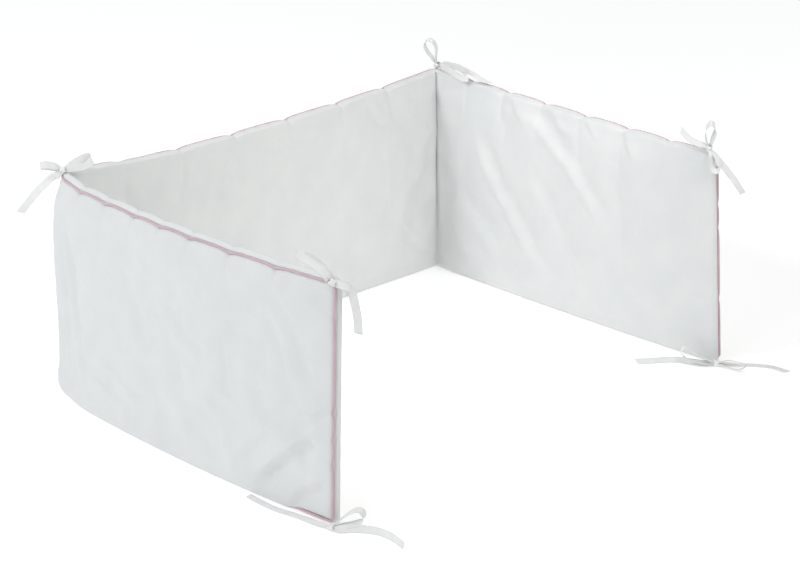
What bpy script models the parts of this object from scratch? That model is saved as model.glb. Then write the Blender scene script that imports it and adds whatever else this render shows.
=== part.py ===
"""Crib bumper: three padded cotton panels in one cover, with piping and six tied ribbons.

The bumper stands in a U on its long edge. Metres, +Z up. The middle panel runs along X,
the U opens towards -Y, and the origin is the centre of the bounding box on the floor.
"""
import math

import bmesh
import bpy
from mathutils import Vector

COLLECTION_NAME = "crib_bumper"

# Cover and pads
HEIGHT = 0.300
SIDE_LENGTH = 0.550
MIDDLE_LENGTH = 0.700
CROWN_OUTER = 0.0050
CROWN_INNER = 0.0045
FOLD_OUTER_LEFT = 0.0034
FOLD_OUTER_RIGHT = -0.0035
FOLD_INNER_SHARE = 0.80
FOLD_LINE_INNER = -0.0016
FOLD_HALF_WIDTH = 0.020
PINCH_DIP = 0.0024
PINCH_HALF_WIDTH = 0.011

# Piping
PIPING_RADIUS = 0.0016
PIPING_SIDES = 6
PIPING_FROM_TOP_LEFT = 0.0057
PIPING_FROM_TOP_INSIDE = 0.0030
PIPING_RISE_AT_CORNERS = 0.0006
PIPING_RISE_REACH = 0.050
PIPING_FROM_END = 0.0033
PIPING_FROM_FLOOR = 0.0031
PIPING_OUT = 0.0058
PIPING_TUCKED_OUT = 0.0020
PIPING_TUCKED_UP = 0.0027

# Ribbons
RIBBON_WIDTH = 0.010
RIBBON_THICKNESS = 0.0010
KNOT_SIZE = (0.0100, 0.0085, 0.0085)
KNOT_BEVEL = 0.0022
RIBBON_GATHERED = 0.006
RIBBON_GATHER_LENGTH = 0.012
LOOP_OVER_TAIL = 0.0004
LOOP_STEPS = 20
TAIL_STEPS = 12

# The plan's centre line at the floor and at the top edge is laid out from the middle
# panel's line. This moves it so that the origin is the centre of the bounding box.
PLAN_SHIFT_X = 0.0212342
PLAN_SHIFT_Y = 0.3046585

CORNER_COLUMNS = ("name", "floor_x", "floor_y", "top_x", "top_y", "floor_round", "top_round")
CORNERS = (
    ("left_end", -0.3878, -0.5534, -0.3673, -0.5406, 0.000, 0.000),
    ("left_fold", -0.3551, 0.0000, -0.3480, -0.0054, 0.012, 0.013),
    ("right_fold", 0.3551, 0.0000, 0.3576, 0.0050, 0.015, 0.013),
    ("right_end", 0.3371, -0.5492, 0.3201, -0.5443, 0.000, 0.000),
)

PANEL_COLUMNS = ("name", "length", "floor_bow", "top_bow", "top_sag")
PANELS = (
    ("left", SIDE_LENGTH, 0.0127, 0.0175, 0.0000),
    ("middle", MIDDLE_LENGTH, -0.0010, -0.0190, 0.0015),
    ("right", SIDE_LENGTH, -0.0058, -0.0040, 0.0003),
)

# Distances along the cover from the left end at which the seam stitches pull in.
PINCHES = (
    0.085, 0.155, 0.228, 0.305, 0.380, 0.455,
    0.640, 0.735, 0.830, 0.930, 1.030, 1.130,
    1.330, 1.405, 1.480, 1.560, 1.640, 1.715,
)

# Distance in from the panel's edge, and how far each face then lies from the centre line.
# The seam with the piping is the step on the outer face. The filling rolls over behind it.
# The top rim is given for the seam of the left panel and drawn up where the seam is higher.
RIM_COLUMNS = ("depth", "outer", "inner")
TOP_RIM = (
    (0.0000, -0.0006, -0.0044),
    (0.0018, 0.0016, -0.0074),
    (0.0045, 0.0031, -0.0094),
    (0.0070, 0.0040, -0.0104),
    (0.0098, 0.0062, -0.0110),
    (0.0170, 0.0080, -0.0116),
)
END_RIM = (
    (0.0000, 0.0004, -0.0030),
    (0.0012, 0.0016, -0.0052),
    (0.0028, 0.0026, -0.0066),
    (0.0045, 0.0034, -0.0076),
    (0.0072, 0.0058, -0.0088),
    (0.0150, 0.0080, -0.0112),
    (0.0240, 0.0082, -0.0118),
)

# Underside from the inner face to the outer one. Near the ends the piping lies in the open
# at the outer edge. Elsewhere it is tucked under, in a groove between two resting strips.
UNDERSIDE_COLUMNS = ("open_out", "open_up", "tucked_out", "tucked_up")
UNDERSIDE = (
    (-0.0112, 0.0110, -0.0112, 0.0110),
    (-0.0098, 0.0036, -0.0098, 0.0036),
    (-0.0076, 0.0000, -0.0076, 0.0000),
    (0.0012, 0.0000, -0.0016, 0.0000),
    (0.0025, 0.0008, -0.0011, 0.0012),
    (0.0030, 0.0032, -0.0007, 0.0044),
    (0.0034, 0.0056, 0.0016, 0.0060),
    (0.0045, 0.0076, 0.0048, 0.0050),
    (0.0054, 0.0095, 0.0055, 0.0012),
    (0.0060, 0.0112, 0.0060, 0.0000),
    (0.0066, 0.0130, 0.0082, 0.0000),
    (0.0073, 0.0152, 0.0096, 0.0030),
    (0.0080, 0.0190, 0.0100, 0.0100),
)

# Each knot's place: distance along the cover, offset to the outside and height.
KNOT_COLUMNS = ("name", "distance", "out", "up")
KNOTS = (
    ("tie_left_end_top", 0.0030, 0.0126, 0.2955),
    ("tie_left_fold_top", 0.5500, 0.0064, 0.3027),
    ("tie_right_fold_top", 1.2500, 0.0064, 0.3040),
    ("tie_right_end_top", 1.7915, -0.0085, 0.3035),
    ("tie_left_end_floor", -0.0031, 0.0100, 0.00425),
    ("tie_right_end_floor", 1.8043, -0.0100, 0.00425),
)

# The strands that leave each knot, in millimetres from its centre. A loop runs out to its
# tip and back, bowed to both sides. A tail runs to its tip with its middle bowed once.
# A laid tail comes down and lies flat on the floor.
STRAND_COLUMNS = ("tie", "kind", "tip_x", "tip_y", "tip_z", "bow_x", "bow_y", "bow_z")
STRANDS = (
    ("tie_left_end_top", "loop", -27, 22, 35, 4, 4, 5),
    ("tie_left_end_top", "loop", 9, -25, -4, -3, -1, 0),
    ("tie_left_end_top", "tail", 24, -26, -63, 8, -13, 5),
    ("tie_left_fold_top", "loop", -24, 22, 8, 4, 5, 3),
    ("tie_left_fold_top", "loop", 25, -25, 22, 4, 5, -3),
    ("tie_left_fold_top", "tail", -40, 40, -56, -5, 5, 10),
    ("tie_right_fold_top", "loop", -8, 8, 38, 5, -6, 1),
    ("tie_right_fold_top", "loop", -17, -56, 9, 1, 1, 5),
    ("tie_right_fold_top", "tail", -14, -114, 2, -2, 2, 6),
    ("tie_right_end_top", "loop", 2, -2, 38, 5, -6, 1),
    ("tie_right_end_top", "tail", -27, 25, 25, -2, 2, 3),
    ("tie_right_end_top", "loop", -19, -16, -26, -4, 1, 3),
    ("tie_right_end_top", "tail", 16, -50, -52, -5, -8, 11),
    ("tie_left_end_floor", "loop", 43, -14, 1, 0, -1, 5),
    ("tie_left_end_floor", "laid_tail", -10, 137, -4, -12, 0, -8),
    ("tie_left_end_floor", "laid_tail", 25, -92, -4, 2, 6, -8),
    ("tie_right_end_floor", "loop", -23, 48, 1, 0, 0, 5),
    ("tie_right_end_floor", "laid_tail", -67, 87, -4, 2, 6, -8),
    ("tie_right_end_floor", "loop", 17, -36, 1, 0, 0, 5),
    ("tie_right_end_floor", "laid_tail", 45, -84, -4, 14, -8, -8),
)
MILLIMETRE = 0.001

FACE_LEVELS = (0.12, 0.27, 0.42, 0.57, 0.72, 0.87)
TUCK_START = 0.038
TUCK_END = 0.090


def clear_scene():
    for item in list(bpy.data.objects):
        bpy.data.objects.remove(item, do_unlink=True)


def make_collection():
    collection = bpy.data.collections.new(COLLECTION_NAME)
    bpy.context.scene.collection.children.link(collection)
    return collection


def make_material(name, colour, roughness):
    material = bpy.data.materials.new(name)
    material.use_nodes = True
    shader = material.node_tree.nodes["Principled BSDF"]
    shader.inputs["Base Color"].default_value = (*colour, 1.0)
    shader.inputs["Roughness"].default_value = roughness
    material.diffuse_color = (*colour, 1.0)
    return material


def add_object(name, bm, material, collection):
    bmesh.ops.recalc_face_normals(bm, faces=bm.faces[:])
    mesh = bpy.data.meshes.new(name)
    bm.to_mesh(mesh)
    bm.free()
    mesh.materials.append(material)
    item = bpy.data.objects.new(name, mesh)
    collection.objects.link(item)
    return item


def bridge_rings(bm, first, second):
    count = len(first)
    for index in range(count):
        following = (index + 1) % count
        bm.faces.new((first[index], first[following], second[following], second[index]))


def rows(columns, table):
    return [dict(zip(columns, row)) for row in table]


def smooth(value):
    value = min(max(value, 0.0), 1.0)
    return value * value * (3.0 - 2.0 * value)


def interpolate(table, key, value):
    """Straight-line reading of a table of rows that start with their key."""
    column = RIM_COLUMNS.index(key)
    for low, high in zip(table, table[1:]):
        if value <= high[0]:
            share = (value - low[0]) / (high[0] - low[0])
            return low[column] + (high[column] - low[column]) * share
    return table[-1][column]


def seam_from_top(distance):
    """How far below the top edge the piped seam runs: lower on the left panel."""
    inside = smooth((distance - STARTS[1] + 0.020) / 0.050)
    corners = (STARTS[1], STARTS[2], TOTAL_LENGTH)
    nearest = min(abs(distance - corner) for corner in corners)
    higher = PIPING_RISE_AT_CORNERS * math.exp(-nearest / PIPING_RISE_REACH)
    return PIPING_FROM_TOP_LEFT + (PIPING_FROM_TOP_INSIDE - higher - PIPING_FROM_TOP_LEFT) * inside


def rim_depth(depth, distance):
    """A depth of the top rim's table, drawn up with the seam."""
    seam = seam_from_top(distance)
    deepest = TOP_RIM[-1][0]
    if depth <= PIPING_FROM_TOP_LEFT:
        return depth * seam / PIPING_FROM_TOP_LEFT
    share = (deepest - depth) / (deepest - PIPING_FROM_TOP_LEFT)
    return deepest - (deepest - seam) * share


def table_depth(from_top, distance):
    """The table's depth for a point this far below the top edge."""
    seam = seam_from_top(distance)
    deepest = TOP_RIM[-1][0]
    if from_top <= seam:
        return from_top * PIPING_FROM_TOP_LEFT / seam
    if from_top >= deepest:
        return from_top
    share = (deepest - from_top) / (deepest - seam)
    return deepest - (deepest - PIPING_FROM_TOP_LEFT) * share


def rim_offset(side, distance, from_top, from_end):
    """The nearer edge decides how far the filling has drawn a face in."""
    at_top = interpolate(TOP_RIM, side, table_depth(from_top, distance))
    at_end = interpolate(END_RIM, side, from_end)
    return min(at_top, at_end) if side == "outer" else max(at_top, at_end)


# ---------------------------------------------------------------- plan of the standing cover

def panel_starts():
    starts = [0.0]
    for panel in rows(PANEL_COLUMNS, PANELS):
        starts.append(starts[-1] + panel["length"])
    return starts


STARTS = panel_starts()
TOTAL_LENGTH = STARTS[-1]


def panel_of(distance):
    for index in range(len(PANELS) - 1):
        if distance <= STARTS[index + 1]:
            return index
    return len(PANELS) - 1


def unrounded_point(distance, level, index):
    """A point on one panel's bowed line, at the floor or at the top."""
    corners = rows(CORNER_COLUMNS, CORNERS)
    panel = rows(PANEL_COLUMNS, PANELS)[index]
    start = Vector((corners[index][level + "_x"], corners[index][level + "_y"]))
    end = Vector((corners[index + 1][level + "_x"], corners[index + 1][level + "_y"]))
    share = (distance - STARTS[index]) / panel["length"]
    along = (end - start).normalized()
    outward = Vector((-along.y, along.x))
    return start.lerp(end, share) + outward * panel[level + "_bow"] * 4.0 * share * (1.0 - share)


def plan_point(distance, level):
    """The centre line with its two folds rounded."""
    corners = rows(CORNER_COLUMNS, CORNERS)
    for index in (1, 2):
        reach = corners[index][level + "_round"]
        past = distance - STARTS[index]
        if abs(past) < reach:
            share = (past + reach) / (2.0 * reach)
            before = unrounded_point(STARTS[index] - reach, level, index - 1)
            after = unrounded_point(STARTS[index] + reach, level, index)
            corner = Vector((corners[index][level + "_x"], corners[index][level + "_y"]))
            point = before * (1.0 - share) ** 2 + corner * 2.0 * share * (1.0 - share) + after * share ** 2
            break
    else:
        point = unrounded_point(distance, level, panel_of(distance))
    return point + Vector((PLAN_SHIFT_X, PLAN_SHIFT_Y))


def plan_outward(distance, level):
    step = 0.0005
    along = plan_point(distance + step, level) - plan_point(distance - step, level)
    along.normalize()
    return Vector((-along.y, along.x))


def pinch_at(distance):
    """One where the seam is pulled in, falling to nothing between the stitches."""
    nearest = min(abs(distance - pinch) for pinch in PINCHES)
    return math.exp(-((nearest / PINCH_HALF_WIDTH) ** 1.4))


def fold_at(distance):
    """One on a fold line, falling to nothing on the pads beside it."""
    nearest = min(abs(distance - STARTS[1]), abs(distance - STARTS[2]))
    return 1.0 - smooth(nearest / FOLD_HALF_WIDTH)


def fold_outer_shift(distance, up):
    """The outer cloth runs full round the left fold and is drawn in at the right one."""
    if distance > 0.5 * (STARTS[1] + STARTS[2]):
        return FOLD_OUTER_RIGHT
    level = min(max(up / HEIGHT, 0.0), 1.0)
    return FOLD_OUTER_LEFT * math.sin(math.pi * level) ** 0.6


def top_height(distance):
    index = panel_of(distance)
    panel = rows(PANEL_COLUMNS, PANELS)[index]
    share = (distance - STARTS[index]) / panel["length"]
    sag = panel["top_sag"] * 4.0 * share * (1.0 - share)
    from_end = min(distance, TOTAL_LENGTH - distance)
    corner = 0.0045 * (1.0 - smooth(from_end / 0.012))
    return HEIGHT - sag - PINCH_DIP * pinch_at(distance) - corner


def place(distance, out, up):
    """World point for a distance along the cover, an offset to the outside and a height."""
    share = min(max(up / HEIGHT, 0.0), 1.0)
    centre = plan_point(distance, "floor").lerp(plan_point(distance, "top"), share)
    outward = plan_outward(distance, "floor").lerp(plan_outward(distance, "top"), share).normalized()
    flat = centre + outward * out
    return Vector((flat.x, flat.y, up))


# ---------------------------------------------------------------- padded cover

def crown_share(distance, up):
    """How far the filling swells at a point of a panel, from nothing at its seams to one."""
    index = panel_of(distance)
    share = (distance - STARTS[index]) / PANELS[index][1]
    along = max(math.sin(math.pi * min(max(share, 0.0), 1.0)), 0.0) ** 0.45
    level = min(max(up / HEIGHT, 0.0), 1.0)
    across = math.sin(math.pi * level) ** 0.6
    return along * across


def tuck_at(distance):
    from_end = min(distance, TOTAL_LENGTH - distance)
    return smooth((from_end - TUCK_START) / (TUCK_END - TUCK_START))


def face_out(distance, from_top, up, side):
    """Offset of the outer or the inner face from the centre line."""
    from_end = min(distance, TOTAL_LENGTH - distance)
    rim = rim_offset(side, distance, from_top, from_end)
    fold = fold_at(distance)
    settle = smooth((min(from_top, from_end) - 0.012) / 0.020)
    if side == "outer":
        swell = CROWN_OUTER * crown_share(distance, up)
        return rim + (swell + fold_outer_shift(distance, up) * fold) * settle
    filled = rim - CROWN_INNER * crown_share(distance, up) * settle
    return FOLD_LINE_INNER + (filled - FOLD_LINE_INNER) * (1.0 - FOLD_INNER_SHARE * fold)


def section_points(distance):
    """The closed outline of the cover across its length, from the inner foot round to the inner face."""
    top = top_height(distance)
    tuck = tuck_at(distance)
    from_end = min(distance, TOTAL_LENGTH - distance)
    fold = fold_at(distance)
    outer_limit = interpolate(END_RIM, "outer", from_end) + (0.01 if from_end > END_RIM[-1][0] else 0.0)
    inner_limit = interpolate(END_RIM, "inner", from_end)
    points = []
    for row in rows(UNDERSIDE_COLUMNS, UNDERSIDE):
        out = row["open_out"] + (row["tucked_out"] - row["open_out"]) * tuck
        up = row["open_up"] + (row["tucked_up"] - row["open_up"]) * tuck
        if out < FOLD_LINE_INNER:
            out = FOLD_LINE_INNER + (out - FOLD_LINE_INNER) * (1.0 - FOLD_INNER_SHARE * fold)
        out = min(max(out, inner_limit), outer_limit)
        points.append((out, up))
    depths = [rim_depth(row[0], distance) for row in TOP_RIM]
    outer_ups = [top * level for level in FACE_LEVELS]
    outer_ups += [top - depth for depth in reversed(depths)]
    for up in outer_ups:
        points.append((face_out(distance, top - up, up, "outer"), up))
    inner_ups = [top - depth for depth in depths]
    inner_ups += [top * level for level in reversed(FACE_LEVELS)]
    for up in inner_ups:
        points.append((face_out(distance, top - up, up, "inner"), up))
    return points


def cover_stations():
    """Distances of the sections, close together at the ends, folds and pinches."""
    near_end = [row[0] for row in END_RIM] + [TUCK_START]
    stations = list(near_end)
    stations += [TUCK_START + (TUCK_END - TUCK_START) * share for share in (0.25, 0.5, 0.75, 1.0)]
    stations += [TOTAL_LENGTH - distance for distance in stations]
    for fold in STARTS[1:3]:
        stations += [fold + offset for offset in (0.0, -0.003, 0.003, -0.006, 0.006, -0.010, 0.010)]
        stations += [fold + offset for offset in (-0.016, 0.016, -0.024, 0.024, -0.036, 0.036)]
    for pinch in PINCHES:
        stations += [pinch + offset for offset in (0.0, -0.008, 0.008, -0.020, 0.020)]
    kept = []
    for distance in sorted(stations):
        if not kept or distance - kept[-1] > 0.0008:
            kept.append(distance)
    return kept


def make_cover(collection):
    """Lofts the padded cover through its sections and closes the two ends."""
    bm = bmesh.new()
    rings = []
    for distance in cover_stations():
        ring = [bm.verts.new(place(distance, out, up)) for out, up in section_points(distance)]
        rings.append(ring)
    for first, second in zip(rings, rings[1:]):
        bridge_rings(bm, first, second)
    bm.faces.new(rings[0])
    bm.faces.new(list(reversed(rings[-1])))
    bmesh.ops.triangulate(bm, faces=[face for face in bm.faces if len(face.verts) > 4])
    material = make_material("white_cotton_cover", (0.90, 0.90, 0.89), 0.85)
    return add_object("cover", bm, material, collection)


# ---------------------------------------------------------------- piping

def piping_height(distance):
    """Height of the piping along the top edge."""
    return top_height(distance) - seam_from_top(distance)


def piping_stops():
    """One round of the outer face's edge as distance, offset and height."""
    left = PIPING_FROM_END
    right = TOTAL_LENGTH - PIPING_FROM_END
    turn = 0.0010
    between = [distance for distance in cover_stations() if left + 0.003 < distance < right - 0.003]
    rise = [HEIGHT * share for share in (0.035, 0.2, 0.4, 0.6, 0.8, 0.945)]
    stops = []
    for distance in between:
        tuck = tuck_at(distance)
        out = PIPING_OUT + (PIPING_TUCKED_OUT - PIPING_OUT) * tuck
        up = PIPING_FROM_FLOOR + (PIPING_TUCKED_UP - PIPING_FROM_FLOOR) * tuck
        stops.append((distance, out, up))
    stops.append((right - turn, PIPING_OUT, PIPING_FROM_FLOOR + turn))
    stops += [(right, PIPING_OUT, up) for up in rise]
    stops.append((right - turn, PIPING_OUT, piping_height(right - turn) - turn))
    stops += [(distance, PIPING_OUT, piping_height(distance)) for distance in reversed(between)]
    stops.append((left + turn, PIPING_OUT, piping_height(left + turn) - turn))
    stops += [(left, PIPING_OUT, up) for up in reversed(rise)]
    stops.append((left + turn, PIPING_OUT, PIPING_FROM_FLOOR + turn))
    return stops


def make_piping(collection):
    """Sweeps a round cord as one closed loop along the outer face's edge."""
    stops = piping_stops()
    path = [place(*stop) for stop in stops]
    total = len(path)
    bm = bmesh.new()
    rings = []
    for index, point in enumerate(path):
        along = (path[(index + 1) % total] - path[index - 1]).normalized()
        flat = plan_outward(stops[index][0], "top")
        outward = Vector((flat.x, flat.y, 0.0))
        outward = (outward - along * outward.dot(along)).normalized()
        across = along.cross(outward)
        ring = []
        for side in range(PIPING_SIDES):
            angle = 2.0 * math.pi * (side + 0.5) / PIPING_SIDES
            offset = outward * math.cos(angle) + across * math.sin(angle)
            ring.append(bm.verts.new(point + offset * PIPING_RADIUS))
        rings.append(ring)
    for index in range(total):
        bridge_rings(bm, rings[index], rings[(index + 1) % total])
    material = make_material("pink_piping", (0.72, 0.52, 0.55), 0.8)
    return add_object("piping", bm, material, collection)


# ---------------------------------------------------------------- ribbon ties

def loop_path(tip, bow):
    """Out to the tip and back again, opened to both sides."""
    points = []
    for step in range(LOOP_STEPS + 1):
        share = step / LOOP_STEPS
        reach = math.sin(math.pi * share) ** 0.9
        side = math.sin(2.0 * math.pi * share)
        start_gap = bow.normalized() * 0.0013 * (1.0 - 2.0 * share)
        points.append(tip * reach + bow * side + start_gap)
    return points


def tail_path(tip, bow):
    """Out to the tip, with the middle moved by the bow."""
    points = []
    for step in range(TAIL_STEPS + 1):
        share = step / TAIL_STEPS
        points.append(tip * share + bow * 4.0 * share * (1.0 - share))
    return points


def ribbon_piece(name, path, width_axis, material, collection):
    """Lofts a thin rectangle along a path; the ribbon is gathered where it enters the knot."""
    bm = bmesh.new()
    rings = []
    for index, point in enumerate(path):
        along = (path[min(index + 1, len(path) - 1)] - path[max(index - 1, 0)]).normalized()
        axis = width_axis if width_axis is not None else along.cross(Vector((0.0, 0.0, 1.0)))
        across = (axis - along * axis.dot(along)).normalized()
        face = along.cross(across)
        spread = smooth((point - path[0]).length / RIBBON_GATHER_LENGTH)
        half_width = 0.5 * (RIBBON_GATHERED + (RIBBON_WIDTH - RIBBON_GATHERED) * spread)
        half_depth = 0.5 * RIBBON_THICKNESS
        ring = []
        for side, depth in ((-1, -1), (1, -1), (1, 1), (-1, 1)):
            ring.append(bm.verts.new(point + across * half_width * side + face * half_depth * depth))
        rings.append(ring)
    for first, second in zip(rings, rings[1:]):
        bridge_rings(bm, first, second)
    bm.faces.new(rings[0])
    bm.faces.new(list(reversed(rings[-1])))
    return add_object(name, bm, material, collection)


def knot_block(name, centre, material, collection):
    """A small block with rounded edges, flat underneath."""
    bm = bmesh.new()
    bmesh.ops.create_cube(bm, size=1.0)
    bmesh.ops.scale(bm, vec=KNOT_SIZE, verts=bm.verts[:])
    bmesh.ops.bevel(
        bm, geom=bm.edges[:], offset=KNOT_BEVEL, segments=2, profile=0.5, affect="EDGES"
    )
    bmesh.ops.translate(bm, vec=centre, verts=bm.verts[:])
    return add_object(name, bm, material, collection)


def join_solids(item, others):
    """Unites the strands with their knot and takes the separate pieces away."""
    for other in others:
        modifier = item.modifiers.new("union", "BOOLEAN")
        modifier.operation = "UNION"
        modifier.solver = "EXACT"
        modifier.object = other
    bpy.context.view_layer.update()
    evaluated = item.evaluated_get(bpy.context.evaluated_depsgraph_get())
    joined = bpy.data.meshes.new_from_object(evaluated)
    item.modifiers.clear()
    item.data = joined
    for other in others:
        bpy.data.objects.remove(other, do_unlink=True)
    return item


def make_tie(knot, material, collection):
    """One ribbon tied in a bow: a knot with its loops and tails in one solid."""
    centre = place(knot["distance"], knot["out"], knot["up"])
    item = knot_block(knot["name"], centre, material, collection)
    pieces = []
    for strand in rows(STRAND_COLUMNS, STRANDS):
        if strand["tie"] != knot["name"]:
            continue
        tip = Vector((strand["tip_x"], strand["tip_y"], strand["tip_z"])) * MILLIMETRE
        bow = Vector((strand["bow_x"], strand["bow_y"], strand["bow_z"])) * MILLIMETRE
        width_axis = tip.cross(bow).normalized()
        if knot["up"] < 0.1:
            width_axis.z = 0.0
            width_axis.normalize()
        if strand["kind"] == "loop":
            path = loop_path(tip, bow)
        else:
            path = tail_path(tip, bow)
        if strand["kind"] == "laid_tail":
            width_axis = None
        path = [centre + point for point in path]
        if knot["up"] < 0.1:
            floor = 0.5 * RIBBON_THICKNESS
            if strand["kind"] == "loop":
                floor += LOOP_OVER_TAIL
            path = [Vector((point.x, point.y, max(point.z, floor))) for point in path]
        pieces.append(ribbon_piece("strand", path, width_axis, material, collection))
    return join_solids(item, pieces)


def make_ties(collection):
    material = make_material("white_ribbon", (0.93, 0.93, 0.93), 0.7)
    for knot in rows(KNOT_COLUMNS, KNOTS):
        make_tie(knot, material, collection)


def main():
    clear_scene()
    collection = make_collection()
    make_cover(collection)
    make_piping(collection)
    make_ties(collection)


main()
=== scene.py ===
import bpy
import bmesh
import math
import random
import numpy as np
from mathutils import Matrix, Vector, noise


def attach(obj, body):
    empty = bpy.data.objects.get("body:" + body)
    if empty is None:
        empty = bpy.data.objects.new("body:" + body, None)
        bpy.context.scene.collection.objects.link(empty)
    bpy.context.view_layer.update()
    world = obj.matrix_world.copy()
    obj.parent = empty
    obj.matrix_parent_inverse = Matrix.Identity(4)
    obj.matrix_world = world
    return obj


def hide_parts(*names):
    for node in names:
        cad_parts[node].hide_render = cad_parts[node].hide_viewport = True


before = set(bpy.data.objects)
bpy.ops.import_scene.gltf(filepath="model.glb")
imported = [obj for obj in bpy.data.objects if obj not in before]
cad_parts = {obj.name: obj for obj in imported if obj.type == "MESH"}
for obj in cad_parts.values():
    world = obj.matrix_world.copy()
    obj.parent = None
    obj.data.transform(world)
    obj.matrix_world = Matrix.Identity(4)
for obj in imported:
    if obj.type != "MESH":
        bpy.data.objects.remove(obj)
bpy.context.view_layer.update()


# ------------------------------------------------------------------ camera
# The bumper is seen from the front left, from about a metre above its top edge, through a
# long lens that keeps its upright edges nearly parallel.
camera_data = bpy.data.cameras.new("camera")
camera_data.sensor_width = 36.0
camera_data.lens = 125.64
camera_data.shift_x = -0.0115
camera_data.shift_y = -0.0024
camera_data.clip_end = 60.0
camera = bpy.data.objects.new("camera", camera_data)
bpy.context.scene.collection.objects.link(camera)
camera.location = (-2.4537, -2.4143, 1.4008)
camera.rotation_euler = (math.radians(90.0 - 20.1746), 0.0, math.radians(-45.5557))
bpy.context.scene.camera = camera


# ------------------------------------------------------------------ padded cover
# One long cotton cover in three panels, each filled with a loose pad of wadding and folded
# against the next along a stitched line. The outer cloth meets the inner one in a piped seam
# whose stitches draw it in every few centimetres, so the cloth puckers away from the edge.
HEIGHT = 0.300
LENGTH = 1.800
FOLDS = (0.550, 1.250)
PANEL_STARTS = np.array((0.0, 0.550, 1.250))
PANEL_LENGTHS = np.array((0.550, 0.700, 0.550))
PLAN_SHIFT = np.array((0.0212342, 0.3046585))
# corner of the plan: floor x, floor y, top x, top y, rounding at the floor and at the top
CORNERS = (
    (-0.3878, -0.5534, -0.3673, -0.5406, 0.000, 0.000),
    (-0.3578, 0.0027, -0.3460, -0.0074, 0.012, 0.013),
    (0.3551, 0.0000, 0.3576, 0.0050, 0.015, 0.013),
    (0.3371, -0.5492, 0.3201, -0.5443, 0.000, 0.000),
)
# panel: bow of its line at the floor and at the top, sag of its top edge
BOWS = ((0.0127, 0.0175, 0.0000), (-0.0010, -0.0190, 0.0015), (-0.0058, -0.0040, 0.0003))
PINCHES = np.array((
    0.101, 0.182, 0.258, 0.318, 0.373, 0.437, 0.499,
    0.640, 0.735, 0.830, 0.930, 1.030, 1.130,
    1.330, 1.405, 1.480, 1.560, 1.640, 1.715,
))
LEFT_END_PINCHES = np.array((0.253, 0.136, 0.103, 0.071))
RIGHT_END_PINCHES = np.array((0.226, 0.193, 0.090))
MILLIMETRE = 0.001
# the left fold rounds in at its foot: by how much, how far along, up to which height, and where to
FOOT_ROUND = 0.012
FOOT_ROUND_REACH = 0.045
FOOT_ROUND_HEIGHT = 0.028
LEFT_FOLD_INWARD = np.array((0.7002, -0.7139))


def smooth(value):
    """Eases from nought to one."""
    value = np.clip(value, 0.0, 1.0)
    return value * value * (3.0 - 2.0 * value)


def nearest(value, places):
    """How far each value is from the nearest of the places."""
    return np.min(np.abs(np.asarray(value, dtype=float)[..., None] - places), axis=-1)


def closeness(value, places, reach):
    """One at each of the places, fading away from it."""
    return np.exp(-nearest(value, places) / reach)


def running_total(steps):
    return np.concatenate([[0.0], np.cumsum(steps)])


def panel_line(distance, level, index):
    """A place on the bowed line of one panel, at the floor (level 0) or the top (level 1)."""
    start = np.array(CORNERS[index][2 * level:2 * level + 2])
    end = np.array(CORNERS[index + 1][2 * level:2 * level + 2])
    share = (distance - PANEL_STARTS[index]) / PANEL_LENGTHS[index]
    along = (end - start) / np.linalg.norm(end - start)
    outward = np.array((-along[1], along[0]))
    return start + (end - start) * share + outward * BOWS[index][level] * 4.0 * share * (1.0 - share)


def plan_line(distance, level):
    """A place on the whole line, with the corners rounded."""
    for index, fold in enumerate(FOLDS):
        reach = CORNERS[index + 1][4 + level]
        if abs(distance - fold) < reach:
            share = (distance - fold + reach) / (2.0 * reach)
            before = panel_line(fold - reach, level, index)
            after = panel_line(fold + reach, level, index + 1)
            corner = np.array(CORNERS[index + 1][2 * level:2 * level + 2])
            return before * (1 - share) ** 2 + corner * 2 * share * (1 - share) + after * share ** 2
    return panel_line(distance, level, sum(distance > fold for fold in FOLDS))


PLAN_STEPS = np.linspace(-0.02, LENGTH + 0.02, 1841)
PLAN = []
for level in (0, 1):
    line = np.array([plan_line(distance, level) for distance in PLAN_STEPS]) + PLAN_SHIFT
    along = np.gradient(line, axis=0)
    along /= np.linalg.norm(along, axis=1)[:, None]
    PLAN.append(np.column_stack([line, -along[:, 1], along[:, 0]]))


def stand_up(distance, out, up):
    """Stands points up: distance along the cover, offset to the outside and height."""
    floor, top = (np.column_stack([np.interp(distance, PLAN_STEPS, column) for column in table.T])
                  for table in PLAN)
    share = np.clip(up / HEIGHT, 0.0, 1.0)[:, None]
    place = floor * (1.0 - share) + top * share
    outward = place[:, 2:] / np.linalg.norm(place[:, 2:], axis=1)[:, None]
    by_fold = np.exp(-((distance - FOLDS[0]) / FOOT_ROUND_REACH) ** 2)
    by_floor = np.maximum(1.0 - up / FOOT_ROUND_HEIGHT, 0.0) ** 2
    inward = (FOOT_ROUND * by_fold * by_floor)[:, None] * LEFT_FOLD_INWARD
    return np.column_stack([place[:, :2] + outward * out[:, None] + inward, up])


# millimetres from the crest down to the seam along the left panel, how much higher it runs past
# the left fold, and how much higher still in the corners
SEAM_ROW = 5.7
SEAM_HIGHER = 3.1
SEAM_HIGHER_IN_CORNERS = 0.6
SEAM_CORNERS = np.array((0.56, 1.25, 1.79))
SEAM_CORNER_REACH = 0.05
SEAM_PINCH_DIP = 0.0017
SEAM_PINCH_REACH = 0.0075
# the top edge dips at each pinch, drops at the two ends and is drawn up at the left fold
TOP_PINCH_DIP = 0.0014
TOP_PINCH_REACH = 0.012
END_DROP = 0.0045
END_DROP_REACH = 0.012
FOLD_RISE = 0.0046
RISE_BEFORE_FOLD = 0.051
RISE_HELD_PAST_FOLD = 0.060
RISE_FADE = 0.070


def from_nearer_end(distance):
    return np.minimum(distance, LENGTH - distance)


def past_left_panel(distance):
    """Nought along the left panel and one along the other two."""
    return smooth((distance - 0.53) / 0.05)


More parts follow.
